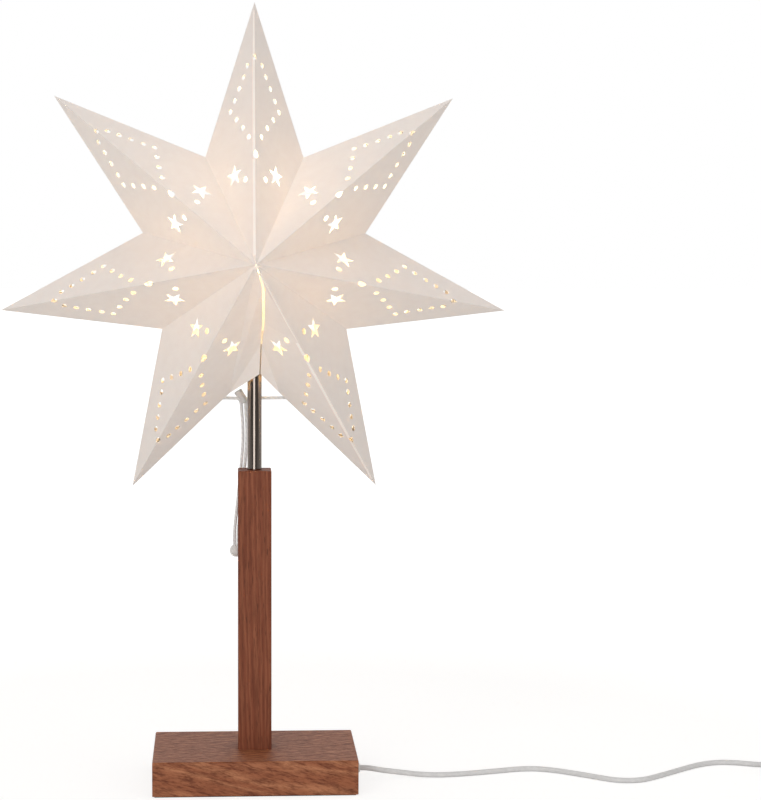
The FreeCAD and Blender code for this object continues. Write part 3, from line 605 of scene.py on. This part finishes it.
nylon, tree, place = begin("moulded_black_nylon")
peel = add(tree, "TexNoise", {"Vector": place, "Scale": 900.0, "Detail": 2.0})
colour = add(tree, "ValToRGB", {"Fac": peel}, [(0.3, "#1d1d1e"), (0.7, "#2a2a2b")])
shader = add(tree, "BsdfPrincipled", {"Base Color": colour, "Roughness": 0.45})
add(tree, "OutputMaterial", {"Surface": shader})
cover(nylon, "plug_sleeves")

# Tie round the coil: a flat band of white plastic, pulled to size.
# Extruded polyethylene, with faint lines along the band
band, tree, place = begin("extruded_polyethylene_band")
lines = add(tree, "TexNoise", {"Vector": place, "Scale": 1100.0, "Detail": 2.0})
colour = add(tree, "ValToRGB", {"Fac": lines}, [(0.3, "#dcdcdb"), (0.7, "#eaeae9")])
shader = add(tree, "BsdfPrincipled", {"Base Color": colour, "Roughness": 0.42})
add(tree, "OutputMaterial", {"Surface": shader})
cover(band, "coil_tie")

# Table under the lamp: a pale matt sheet that fades into the white background beyond the lamp.
# It takes the lamp's shadow; what the camera or a gloss sees of it is lifted to white
sheet, tree, place = begin("pale_matt_table")
path = add(tree, "LightPath").outputs
seen = add(tree, "Math", {0: path["Is Camera Ray"], 1: path["Is Glossy Ray"]}, operation="MAXIMUM")
seen = add(tree, "Math", {0: seen, 1: path["Is Transmission Ray"]}, operation="MAXIMUM")
away = add(tree, "VectorMath", {0: place}, operation="LENGTH").outputs["Value"]
fade = add(tree, "MapRange", {"Value": away, "From Min": 0.4, "From Max": 1.2, "To Min": 0.64, "To Max": 1.0})
lifted = add(tree, "Math", {0: fade, 1: seen}, operation="MULTIPLY")
grit = add(tree, "TexNoise", {"Vector": place, "Scale": 300.0, "Detail": 2.0})
tone = add(tree, "ValToRGB", {"Fac": grit}, [(0.3, "#f5f4f2"), (0.7, "#f8f7f5")])
matt = add(tree, "BsdfDiffuse", {"Color": tone})
# A gloss sees it white behind the lamp, and dark towards the room in front and beside it
direction = add(tree, "VectorMath", {0: place}, operation="NORMALIZE")
backward = add(tree, "SeparateXYZ", {"Vector": direction}).outputs["Y"]
glossed = add(tree, "MapRange", {"Value": backward, "From Min": 0.25, "From Max": 0.9,
                                 "To Min": 0.3, "To Max": 1.2})
strength = add(tree, "Mix", {0: path["Is Glossy Ray"], 2: 1.2, 3: glossed}, data_type="FLOAT")
white = add(tree, "Emission", {"Color": (1, 1, 1, 1), "Strength": strength})
shader = add(tree, "MixShader", {0: lifted, 1: matt, 2: white})
add(tree, "OutputMaterial", {"Surface": shader})
left, right, near, far = -6, 6, -1.4, 9
mesh = bpy.data.meshes.new("table")
mesh.from_pydata([(left, near, 0), (right, near, 0), (right, far, 0), (left, far, 0)], [], [(0, 1, 2, 3)])
mesh.materials.append(sheet)
table = bpy.data.objects.new("table", mesh)
bpy.context.collection.objects.link(table)

# Studio: a soft even room, a large soft lamp on the left, weaker ones on the right and above, and an upright
# one in front that draws the bright line on the steel tube; a gloss shows only this one
world = bpy.data.worlds.new("studio")
bpy.context.scene.world = world
world.use_nodes = True
tree = world.node_tree
tree.nodes.clear()
path = add(tree, "LightPath").outputs
# A gloss sees the white background behind the lamp, and in front the dark room that the camera stands in
depth = add(tree, "SeparateXYZ", {"Vector": add(tree, "TexCoord").outputs["Generated"]}).outputs["Y"]
behind = add(tree, "MapRange", {"Value": depth, "From Min": 0.25, "From Max": 0.9})
glossed = add(tree, "Math", {0: path["Is Glossy Ray"], 1: behind}, operation="MULTIPLY")
seen = add(tree, "Math", {0: path["Is Camera Ray"], 1: glossed}, operation="MAXIMUM")
seen = add(tree, "Math", {0: seen, 1: path["Is Transmission Ray"]}, operation="MAXIMUM")
dimmed = add(tree, "MapRange", {"Value": path["Is Glossy Ray"], "To Min": 0.5, "To Max": 0.13})
room = add(tree, "Background", {"Color": "#fcf6f1", "Strength": dimmed})
white = add(tree, "Background", {"Color": (1, 1, 1, 1), "Strength": 1.0})
both = add(tree, "MixShader", {0: seen, 1: room, 2: white})
add(tree, "OutputWorld", {"Surface": both})

for name, place, target, width, height, power in (
    ("key", (-1.3, -1.9, 1.5), (0, 0, 0.3), 1.2, 1.2, 12.5),
    ("fill", (1.7, -1.5, 0.9), (0, 0, 0.3), 1.2, 1.2, 5),
    ("top", (0.1, 0.2, 2.2), (0, 0, 0.2), 1.5, 1.5, 6),
    ("front", (-0.286, -2.2, 0.5), (0, 0, 0.4), 0.95, 1.35, 10),
):
    light = bpy.data.lights.new(name, "AREA")
    light.shape = "RECTANGLE"
    light.size = width
    light.size_y = height
    light.energy = power
    lamp = bpy.data.objects.new(name, light)
    bpy.context.collection.objects.link(lamp)
    lamp.location = place
    lamp.visible_glossy = name == "front"
    lamp.rotation_euler = (Vector(target) - Vector(place)).to_track_quat("-Z", "Y").to_euler()

# Camera: a long lens, a little above the star and turned a little to the right, as in the photograph
view = bpy.data.cameras.new("camera")
view.sensor_width = 36
view.lens = 108.94
view.clip_end = 50
camera = bpy.data.objects.new("camera", view)
bpy.context.collection.objects.link(camera)
eye = (-0.02357, -1.66561, 0.40577)
turn, dip, roll = -3.799, 4.775, 0.232
camera.matrix_world = (
    Matrix.Translation(eye)
    @ Matrix.Rotation(math.radians(turn), 4, "Z")
    @ Matrix.Rotation(math.radians(90 - dip), 4, "X")
    @ Matrix.Rotation(math.radians(roll), 4, "Z")
)
bpy.context.scene.camera = camera
bpy.context.scene.view_settings.view_transform = "Standard"
